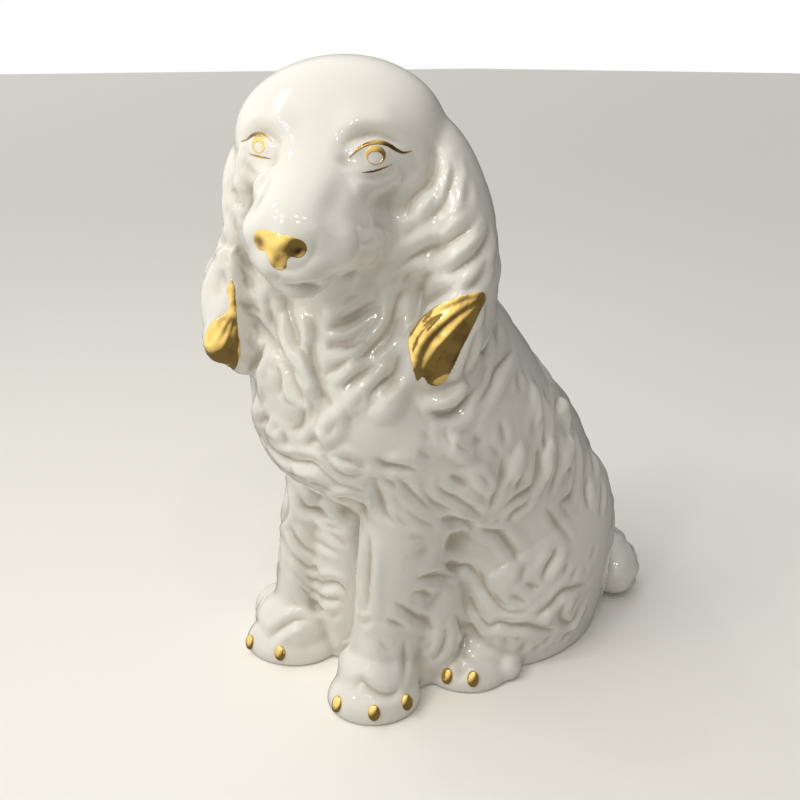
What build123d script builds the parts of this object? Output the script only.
"""Seated long-haired dog, a slip-cast earthenware figure with a white glaze and gilded details.

The figure is made as a pottery makes it: hollow cast pieces that are luted together with slip
before the firing, and thin patches of gold lustre that are fired on over the glaze.

Millimetres and degrees. +Z is up, the dog faces -Y, and its own left side is +X.
The origin is on the resting plane, under the middle of the body.
"""

import os
from math import cos, radians, sin

from build123d import *

SIDES = {1: "left", -1: "right"}

# Castings and gilding
WALL = 4.5
GILDING = 0.5
VENT_DIAMETER = 22.0

# Torso: chest, back and rump in one casting, cut level at the neck joint
TORSO_HEIGHT = 250.0
TORSO_WIDTH = 160.0
TORSO_LENGTH = 200.0
# height of TORSO_HEIGHT; centre of TORSO_LENGTH; half width of TORSO_WIDTH; half length of TORSO_LENGTH
TORSO_SHARES = (
    (0.00, 0.125, 0.425, 0.410),
    (0.10, 0.135, 0.450, 0.440),
    (0.22, 0.140, 0.463, 0.460),
    (0.34, 0.125, 0.475, 0.470),
    (0.47, 0.040, 0.490, 0.475),
    (0.60, -0.095, 0.500, 0.510),
    (0.71, -0.180, 0.490, 0.460),
    (0.83, -0.245, 0.440, 0.400),
    (0.93, -0.285, 0.370, 0.325),
    (1.00, -0.310, 0.310, 0.265),
)

# Main locks of the coat, clear of the seats of the other castings. Each runs from one place on the torso
# to another: height of TORSO_HEIGHT and angle round the body, from the front towards the dog's left
LOCK_RADIUS = 6.0
CHEST_LOCK_SHARES = (
    ((0.92, 10), (0.81, 28)),
    ((0.90, 0), (0.76, -4)),
    ((0.92, 50), (0.86, 32)),
    ((0.88, 55), (0.81, 38)),
    ((0.84, 60), (0.79, 46)),
    ((0.82, 38), (0.72, 24)),
    ((0.69, 26), (0.66, 40)),
    ((0.66, 5), (0.64, 24)),
    ((0.71, 42), (0.66, 54)),
    ((0.78, -8), (0.67, -14)),
)
# the same on both sides
FLANK_LOCK_SHARES = (
    ((0.75, 67), (0.67, 73)),
    ((0.67, 72), (0.58, 74)),
    ((0.68, 94), (0.58, 81)),
    ((0.65, 107), (0.55, 92)),
    ((0.62, 120), (0.54, 104)),
    ((0.78, 117), (0.69, 103)),
    ((0.71, 133), (0.62, 119)),
)

# Head: skull and muzzle along one line, on the upper half of the neck
HEAD_LENGTH = 138.0
HEAD_WIDTH = 102.0
HEAD_HEIGHT = 70.0
HEAD_RISE = 70.0
HEAD_FORWARD = 18.0
HEAD_TURN = 38.0
HEAD_NOD = 8.0
# place along and rise of HEAD_LENGTH; half width of HEAD_WIDTH; half height of HEAD_HEIGHT
HEAD_SHARES = (
    (-0.346, 0.012, 0.060, 0.065),
    (-0.325, 0.012, 0.190, 0.200),
    (-0.230, 0.012, 0.400, 0.410),
    (-0.065, 0.006, 0.500, 0.490),
    (0.085, -0.006, 0.480, 0.475),
    (0.200, -0.040, 0.395, 0.415),
    (0.300, -0.090, 0.300, 0.330),
    (0.420, -0.130, 0.235, 0.270),
    (0.540, -0.150, 0.205, 0.235),
    (0.615, -0.158, 0.155, 0.180),
    (0.643, -0.160, 0.080, 0.095),
    (0.651, -0.160, 0.030, 0.035),
)
HEAD_CAVITY_SHARES = HEAD_SHARES[2:9]
# place between the neck joint and the middle of the skull; half width and half length of the joint
NECK_SHARES = ((0.00, 1.00, 1.00), (0.45, 0.90, 0.92), (0.95, 0.76, 0.80))

# Ears: long hanging locks at the sides of the head
EAR_LENGTH = 126.0
EAR_BREADTH = 58.0
EAR_THICKNESS = 36.0
EAR_REACH = {1: 62.0, -1: 53.0}
EAR_RISE = 10.0
# drop of EAR_LENGTH; reach of EAR_REACH; lean and half breadth of EAR_BREADTH; half thickness of EAR_THICKNESS
EAR_SHARES = (
    (0.00, 0.66, -0.14, 0.20, 0.24),
    (0.13, 0.80, -0.10, 0.38, 0.40),
    (0.33, 0.93, 0.00, 0.47, 0.48),
    (0.55, 1.00, 0.10, 0.50, 0.50),
    (0.78, 0.97, 0.20, 0.46, 0.48),
    (0.93, 0.91, 0.26, 0.34, 0.36),
    (1.00, 0.87, 0.30, 0.17, 0.18),
)
EAR_TUFT_DROP_SHARE = 0.80
EAR_TUFT_HEIGHT = 42.0
EAR_TUFT_WIDTH = 30.0
EAR_TUFT_TILT = 24.0

# Nose and eyes, gilded over the glaze
NOSE_WIDTH = 21.0
NOSE_HEIGHT = 11.0
PHILTRUM_WIDTH = 7.0
PHILTRUM_LENGTH = 13.0
EYE_REACH = 26.0
EYE_RISE = 3.0
EYE_ALONG_SHARE = 0.27
IRIS_DIAMETER = 8.4
PUPIL_DIAMETER = 5.2
LASH_LENGTH = 23.0
LASH_RISE = 6.0
LASH_THICKNESS = 1.4

# Paws of all four legs
PAW_LENGTH = 54.0
PAW_WIDTH = 50.0
PAW_HEIGHT = 34.0
# place along PAW_LENGTH; half width of PAW_WIDTH; height of PAW_HEIGHT
PAW_SHARES = (
    (-0.52, 0.14, 0.40),
    (-0.40, 0.34, 0.78),
    (-0.10, 0.47, 1.00),
    (0.22, 0.49, 0.86),
    (0.44, 0.40, 0.62),
)
TOE_RADIUS = 10.0
TOE_RISE = 7.0
TOE_PLACE_SHARES = (0.34, 0.43, 0.34)
TOE_FAN = 30.0
# toes with a gilded claw, counted from the dog's right
GILDED_TOES = {"left_forepaw": (0, 1, 2), "right_forepaw": (0, 1), "left_hind": (0, 1), "right_hind": (1, 2)}
CLAW_LENGTH = 12.0
CLAW_RADIUS = 3.4
CLAW_TILT = 62.0

# Forelegs: slanted columns from the paws into the chest, feathered behind, the right paw a little ahead
LEG_HEIGHT = 158.0
LEG_WIDTH = 46.0
LEG_LENGTH = 48.0
SHOULDER_REACH = {1: 42.0, -1: 28.0}
FOREPAW_REACH = {1: 26.0, -1: 44.0}
FOREPAW_SPLAY = {1: 50.0, -1: 40.0}
# distances ahead of the middle of the body, of TORSO_LENGTH
SHOULDER_FORWARD_SHARE = 0.375
FOREPAW_FORWARD_SHARES = {1: 0.41, -1: 0.47}
# height of LEG_HEIGHT; set back and half length of LEG_LENGTH; half width of LEG_WIDTH
LEG_SHARES = (
    (0.06, 0.02, 0.45, 0.45),
    (0.20, 0.10, 0.52, 0.43),
    (0.45, 0.22, 0.64, 0.45),
    (0.75, 0.24, 0.68, 0.50),
    (1.00, 0.20, 0.66, 0.54),
)

# Haunches: folded hind legs
HAUNCH_HEIGHT = 136.0
HAUNCH_LENGTH = 128.0
HAUNCH_WIDTH = 70.0
HAUNCH_REACH = 52.0
HAUNCH_BACK = 30.0
# height of HAUNCH_HEIGHT; lean and half length of HAUNCH_LENGTH; half width of HAUNCH_WIDTH
HAUNCH_SHARES = (
    (0.00, 0.02, 0.42, 0.46),
    (0.20, 0.00, 0.48, 0.52),
    (0.45, 0.00, 0.50, 0.54),
    (0.72, 0.06, 0.40, 0.44),
    (0.92, 0.12, 0.20, 0.22),
)
HIND_PAW_REACH = 48.0
HIND_PAW_FORWARD = 17.0
HIND_PAW_SPLAY = 50.0

# Tail: a short brush that lies on the ground and curls to the left
TAIL_DIAMETER = 40.0
TAIL_RISE = 18.5
TAIL_CURL_RADIUS = 52.0
TAIL_CURL_REACH = 25.0
TAIL_ROOT_ANGLE = 150.0
TAIL_TIP_ANGLE = 22.0
# distance from the middle of the body to the middle of the curl, of TORSO_LENGTH
TAIL_CURL_BACK_SHARE = 0.345
# place between the root and the tip; half width of TAIL_DIAMETER
TAIL_SHARES = (
    (0.00, 0.34),
    (0.15, 0.37),
    (0.30, 0.41),
    (0.45, 0.45),
    (0.60, 0.48),
    (0.75, 0.49),
    (0.86, 0.45),
    (0.94, 0.34),
    (0.985, 0.17),
)


def loft_rings(rings, mode=Mode.ADD):
    """Loft through ellipses, each given as a plane and two half sizes, or through end points."""
    sections = []
    for ring in rings:
        if isinstance(ring, Vertex):
            sections.append(ring)
            continue
        plane, half_x, half_y = ring
        with BuildSketch(plane) as section:
            Ellipse(half_x, half_y)
        sections.append(section.sketch.faces()[0])
    loft(sections, mode=mode)


def make_spindle(middle, along, half_length, radius):
    """A spindle about one line, pointed at both ends."""
    with BuildPart() as spindle:
        with BuildSketch(Plane(middle, x_dir=along, z_dir=along.cross(Vector(0, 0, 1)))):
            Ellipse(half_length, radius)
            with Locations((0, -radius)):
                Rectangle(2 * half_length, 2 * radius, mode=Mode.SUBTRACT)
        revolve(axis=Axis(middle, along))
    return spindle.part


def cut_at_ground():
    """Remove what the current part has below the resting plane."""
    split(bisect_by=Plane.XY, keep=Keep.TOP)


# Torso

def torso_rings(shrink=0.0):
    """The torso's level rings; shrunk rings start above the base by the same thickness."""
    rings = []
    for height, centre, half_width, half_length in TORSO_SHARES:
        plane = Plane((0, centre * TORSO_LENGTH, max(height * TORSO_HEIGHT, shrink)))
        rings.append((plane, half_width * TORSO_WIDTH - shrink, half_length * TORSO_LENGTH - shrink))
    return rings


def torso_place(height, angle):
    """A point on the torso's outside, between its rings."""
    for low, high in zip(TORSO_SHARES, TORSO_SHARES[1:]):
        if height <= high[0]:
            break
    share = (height - low[0]) / (high[0] - low[0])
    centre, half_width, half_length = [a + share * (b - a) for a, b in zip(low[1:], high[1:])]
    x = half_width * TORSO_WIDTH * sin(radians(angle))
    y = (centre - half_length * cos(radians(angle))) * TORSO_LENGTH
    return Vector(x, y, height * TORSO_HEIGHT)


def make_lock(start, end, side=1):
    """One lock of the coat, half of which is sunk into the torso."""
    first = torso_place(start[0], side * start[1])
    last = torso_place(end[0], side * end[1])
    return make_spindle((first + last) / 2, last - first, (last - first).length / 2, LOCK_RADIUS)


with BuildPart() as torso_form:
    loft_rings(torso_rings())

coat = torso_form.part
for start, end in CHEST_LOCK_SHARES:
    coat += make_lock(start, end)
for start, end in FLANK_LOCK_SHARES:
    for side in SIDES:
        coat += make_lock(start, end, side)

with BuildPart() as torso:
    add(coat)
    loft_rings(torso_rings(WALL), mode=Mode.SUBTRACT)
    with BuildSketch(Plane((0, TORSO_SHARES[0][1] * TORSO_LENGTH, 0))):
        Circle(VENT_DIAMETER / 2)
    extrude(amount=WALL, mode=Mode.SUBTRACT)

# Head
NECK_CENTRE = TORSO_SHARES[-1][1] * TORSO_LENGTH
NECK_HALF_WIDTH = TORSO_SHARES[-1][2] * TORSO_WIDTH
NECK_HALF_LENGTH = TORSO_SHARES[-1][3] * TORSO_LENGTH
HEAD_CENTRE = Vector(0, NECK_CENTRE - HEAD_FORWARD, TORSO_HEIGHT + HEAD_RISE)
HEAD_SIDEWAYS = Vector(cos(radians(HEAD_TURN)), sin(radians(HEAD_TURN)), 0)
HEAD_AHEAD = Vector(sin(radians(HEAD_TURN)), -cos(radians(HEAD_TURN)), 0)
HEAD_LINE = HEAD_AHEAD * cos(radians(HEAD_NOD)) - Vector(0, 0, sin(radians(HEAD_NOD)))
HEAD_FRAME = Plane(HEAD_CENTRE, x_dir=HEAD_SIDEWAYS, z_dir=HEAD_LINE)


def head_plane(along, rise, sideways=0.0):
    """A plane across the head's line, from its place in the head's own frame."""
    centre = HEAD_FRAME.from_local_coords(Vector(sideways, rise, along))
    return Plane(centre, x_dir=HEAD_SIDEWAYS, z_dir=HEAD_LINE)


def head_rings(shares, grow=0.0):
    """Rings across the head's line, grown or shrunk by one thickness, the last ring ahead too."""
    rings = []
    for along, rise, half_width, half_height in shares:
        ahead = grow if along == HEAD_SHARES[-1][0] else 0
        plane = head_plane(along * HEAD_LENGTH + ahead, rise * HEAD_LENGTH)
        rings.append((plane, half_width * HEAD_WIDTH + grow, half_height * HEAD_HEIGHT + grow))
    return rings


def neck_rings(shrink=0.0):
    """The upper neck, from the level joint into the skull."""
    rings = []
    for place, half_width, half_length in NECK_SHARES:
        plane = Plane((0, NECK_CENTRE - place * HEAD_FORWARD, TORSO_HEIGHT + place * HEAD_RISE))
        rings.append((plane, half_width * NECK_HALF_WIDTH - shrink, half_length * NECK_HALF_LENGTH - shrink))
    return rings


with BuildPart() as head_form:
    loft_rings(head_rings(HEAD_SHARES))
    loft_rings(neck_rings())

with BuildPart() as head_hollow:
    loft_rings(head_rings(HEAD_CAVITY_SHARES, -WALL))
    loft_rings(neck_rings(WALL))

with BuildPart() as head:
    add(head_form.part)
    add(head_hollow.part, mode=Mode.SUBTRACT)

with BuildPart() as gilded_head:
    loft_rings(head_rings(HEAD_SHARES, GILDING))

# Nose: a wide pad with a drop down the middle of the lip
with BuildPart() as nose_gilding:
    with BuildSketch(head_plane(HEAD_SHARES[-4][0] * HEAD_LENGTH, HEAD_SHARES[-1][1] * HEAD_LENGTH)):
        with Locations((0, NOSE_HEIGHT / 2)):
            Ellipse(NOSE_WIDTH / 2, NOSE_HEIGHT / 2)
        with Locations((0, NOSE_HEIGHT / 2 - PHILTRUM_LENGTH / 2)):
            Rectangle(PHILTRUM_WIDTH, PHILTRUM_LENGTH)
    extrude(amount=HEAD_LENGTH)
    add(gilded_head.part, mode=Mode.INTERSECT)
    add(head_form.part, mode=Mode.SUBTRACT)


def make_eye_gilding(side):
    """The ring of one iris and the upper lash over it."""
    with BuildPart() as eye:
        with BuildSketch(head_plane(EYE_ALONG_SHARE * HEAD_LENGTH, EYE_RISE, side * EYE_REACH)):
            Circle(IRIS_DIAMETER / 2)
            Circle(PUPIL_DIAMETER / 2, mode=Mode.SUBTRACT)
            with BuildLine():
                upper = ThreePointArc((-LASH_LENGTH / 2, 0), (0, LASH_RISE), (LASH_LENGTH / 2, 0))
                ThreePointArc(upper @ 1, (0, LASH_RISE - LASH_THICKNESS), upper @ 0)
            make_face()
        extrude(amount=EYE_REACH, both=True)
        add(gilded_head.part, mode=Mode.INTERSECT)
        add(head_form.part, mode=Mode.SUBTRACT)
    return eye.part


# Ears

def ear_centre(side, drop, reach, lean):
    """A point on the middle line of one ear."""
    out = HEAD_SIDEWAYS * (side * reach * EAR_REACH[side])
    return HEAD_CENTRE + out + HEAD_AHEAD * (lean * EAR_BREADTH) + Vector(0, 0, EAR_RISE - drop * EAR_LENGTH)


def make_ear_form(side, shares=EAR_SHARES, grow=0.0):
    """One hanging ear before it is fitted to the head and the neck, grown or shrunk by one thickness."""
    with BuildPart() as ear:
        rings = []
        for drop, reach, lean, half_breadth, half_thickness in shares:
            plane = Plane(ear_centre(side, drop, reach, lean), x_dir=HEAD_SIDEWAYS)
            rings.append((plane, half_thickness * EAR_THICKNESS + grow, half_breadth * EAR_BREADTH + grow))
        loft_rings(rings)
    return ear.part


def make_ear(side):
    """One hanging ear, seated against the head and the neck, with a hollow that opens into the skull."""
    with BuildPart() as hollow:
        add(make_ear_form(side, EAR_SHARES[1:-1], -WALL))
        loft_rings(torso_rings(-WALL), mode=Mode.SUBTRACT)
        loft_rings(neck_rings(-WALL), mode=Mode.SUBTRACT)
    with BuildPart() as ear:
        add(make_ear_form(side))
        add(hollow.part, mode=Mode.SUBTRACT)
        add(head_form.part, mode=Mode.SUBTRACT)
        add(torso_form.part, mode=Mode.SUBTRACT)
    return ear.part


def make_ear_gilding(side):
    """The gilded tuft on the front of one ear's end."""
    _, reach, lean, _, _ = EAR_SHARES[4]
    middle = ear_centre(side, EAR_TUFT_DROP_SHARE, reach, lean)
    with BuildPart() as tuft:
        with BuildSketch(Plane(middle, x_dir=HEAD_SIDEWAYS, z_dir=HEAD_AHEAD)):
            Ellipse(EAR_TUFT_WIDTH / 2, EAR_TUFT_HEIGHT / 2, rotation=-side * EAR_TUFT_TILT)
        extrude(amount=EAR_BREADTH)
        add(make_ear_form(side, grow=GILDING), mode=Mode.INTERSECT)
        add(make_ear_form(side), mode=Mode.SUBTRACT)
        add(torso_form.part, mode=Mode.SUBTRACT)
    return tuft.part


# Legs

def paw_plane(base, splay):
    """The plane of a paw's sections: across the way it points, with its base on the ground."""
    ahead = Vector(sin(radians(splay)), -cos(radians(splay)), 0)
    across = Vector(cos(radians(splay)), sin(radians(splay)), 0)
    return Plane(base, x_dir=across, z_dir=ahead)


def forepaw_frame(side):
    """Where one front paw stands, and which way it points."""
    forward = FOREPAW_FORWARD_SHARES[side] * TORSO_LENGTH
    return paw_plane(Vector(side * FOREPAW_REACH[side], -forward, 0), FOREPAW_SPLAY[side])


def hind_paw_frame(side):
    """Where one hind paw stands, and which way it points."""
    return paw_plane(Vector(side * HIND_PAW_REACH, -HIND_PAW_FORWARD, 0), side * HIND_PAW_SPLAY)


def toe_places(frame):
    """The centres of a paw's toes, spread across its front, and the ways that they point."""
    spread = PAW_WIDTH / len(TOE_PLACE_SHARES)
    places = []
    for number, along in enumerate(TOE_PLACE_SHARES):
        outward = number - (len(TOE_PLACE_SHARES) - 1) / 2
        centre = frame.from_local_coords(Vector(outward * spread, TOE_RISE, along * PAW_LENGTH))
        fan = radians(outward * TOE_FAN)
        places.append((centre, frame.z_dir * cos(fan) + frame.x_dir * sin(fan)))
    return places


def add_paw(frame):
    """A paw with its toes, inside the current part, down to just under the ground."""
    rings = []
    for along, half_width, height in PAW_SHARES:
        centre = frame.from_local_coords(Vector(0, 0, along * PAW_LENGTH))
        plane = Plane(centre, x_dir=frame.x_dir, z_dir=frame.z_dir)
        rings.append((plane, half_width * PAW_WIDTH, height * PAW_HEIGHT))
    loft_rings(rings)
    with Locations(*[centre for centre, _ in toe_places(frame)]):
        Sphere(TOE_RADIUS)


def make_claws(frame, paw, toes):
    """The gilded claws of one paw, seated on the named toes."""
    places = toe_places(frame)
    with BuildPart() as claws:
        for toe in toes:
            centre, ahead = places[toe]
            tip = centre + ahead * TOE_RADIUS
            down = ahead * cos(radians(CLAW_TILT)) - Vector(0, 0, sin(radians(CLAW_TILT)))
            add(make_spindle(tip, down, CLAW_LENGTH / 2, CLAW_RADIUS))
        add(paw, mode=Mode.SUBTRACT)
        cut_at_ground()
    return claws.part


def leg_rings(side, shrink=0.0):
    """The level rings of one foreleg's column."""
    rings = []
    for height, back, half_length, half_width in LEG_SHARES:
        reach = FOREPAW_REACH[side] + height * (SHOULDER_REACH[side] - FOREPAW_REACH[side])
        lean = height * (SHOULDER_FORWARD_SHARE - FOREPAW_FORWARD_SHARES[side])
        forward = (FOREPAW_FORWARD_SHARES[side] + lean) * TORSO_LENGTH
        plane = Plane((side * reach, back * LEG_LENGTH - forward, height * LEG_HEIGHT + shrink))
        rings.append((plane, half_width * LEG_WIDTH - shrink, half_length * LEG_LENGTH - shrink))
    return rings


def make_foreleg(side):
    """One foreleg with its paw, hollow above the paw and seated under the chest."""
    with BuildPart() as foreleg:
        loft_rings(leg_rings(side))
        add_paw(forepaw_frame(side))
        cut_at_ground()
        loft_rings(leg_rings(side, WALL), mode=Mode.SUBTRACT)
        add(torso_form.part, mode=Mode.SUBTRACT)
    return foreleg.part


def haunch_rings(side, shrink=0.0):
    """The level rings of one thigh; shrunk rings start above the ground by the same thickness."""
    rings = []
    for height, lean, half_length, half_width in HAUNCH_SHARES:
        back = HAUNCH_BACK + lean * HAUNCH_LENGTH
        plane = Plane((side * HAUNCH_REACH, back, max(height * HAUNCH_HEIGHT, shrink)))
        rings.append((plane, half_width * HAUNCH_WIDTH - shrink, half_length * HAUNCH_LENGTH - shrink))
    return rings


def make_haunch_form(side):
    """One thigh, before it is hollowed and fitted to the rump."""
    with BuildPart() as form:
        loft_rings(haunch_rings(side))
    return form.part


haunch_forms = {side: make_haunch_form(side) for side in SIDES}


def make_haunch(side):
    """One hollow thigh, seated against the rump."""
    with BuildPart() as haunch:
        add(haunch_forms[side])
        loft_rings(haunch_rings(side, WALL), mode=Mode.SUBTRACT)
        add(torso_form.part, mode=Mode.SUBTRACT)
    return haunch.part


def make_hind_paw(side):
    """One hind paw, seated against the thigh and the rump."""
    with BuildPart() as paw:
        add_paw(hind_paw_frame(side))
        cut_at_ground()
        add(haunch_forms[side], mode=Mode.SUBTRACT)
        add(torso_form.part, mode=Mode.SUBTRACT)
    return paw.part


# Tail

def tail_point(place):
    """A point on the middle line of the tail, from its root at 0 to its tip at 1, and its angle."""
    angle = radians(TAIL_ROOT_ANGLE + place * (TAIL_TIP_ANGLE - TAIL_ROOT_ANGLE))
    out = Vector(cos(angle), sin(angle), 0) * TAIL_CURL_RADIUS
    return Vector(TAIL_CURL_REACH, TAIL_CURL_BACK_SHARE * TORSO_LENGTH, TAIL_RISE) + out, angle


def tail_rings(shrink=0.0):
    """Round sections along the tail."""
    rings = []
    for place, half_width in TAIL_SHARES:
        centre, angle = tail_point(place)
        onward = Vector(sin(angle), -cos(angle), 0)
        radius = half_width * TAIL_DIAMETER - shrink
        rings.append((Plane(centre, x_dir=Vector(0, 0, 1), z_dir=onward), radius, radius))
    return rings


with BuildPart() as tail:
    loft_rings([*tail_rings(), Vertex(*tail_point(1)[0])])
    cut_at_ground()
    loft_rings(tail_rings(WALL), mode=Mode.SUBTRACT)
    add(torso_form.part, mode=Mode.SUBTRACT)
    add(haunch_forms[1], mode=Mode.SUBTRACT)

# The finished pieces
parts = {"torso": torso.part, "head": head.part, "tail": tail.part, "nose_gilding": nose_gilding.part}
for side, name in SIDES.items():
    parts[f"{name}_ear"] = make_ear(side)
    parts[f"{name}_ear_gilding"] = make_ear_gilding(side)
    parts[f"{name}_eye_gilding"] = make_eye_gilding(side)
    parts[f"{name}_foreleg"] = make_foreleg(side)
    parts[f"{name}_forepaw_claws"] = make_claws(
        forepaw_frame(side), parts[f"{name}_foreleg"], GILDED_TOES[f"{name}_forepaw"])
    parts[f"{name}_haunch"] = make_haunch(side)
    parts[f"{name}_hind_paw"] = make_hind_paw(side)
    parts[f"{name}_hind_claws"] = make_claws(
        hind_paw_frame(side), parts[f"{name}_hind_paw"], GILDED_TOES[f"{name}_hind"])

os.makedirs("parts", exist_ok=True)
for name, part in parts.items():
    part.label = name
    export_step(part, f"parts/{name}.step")
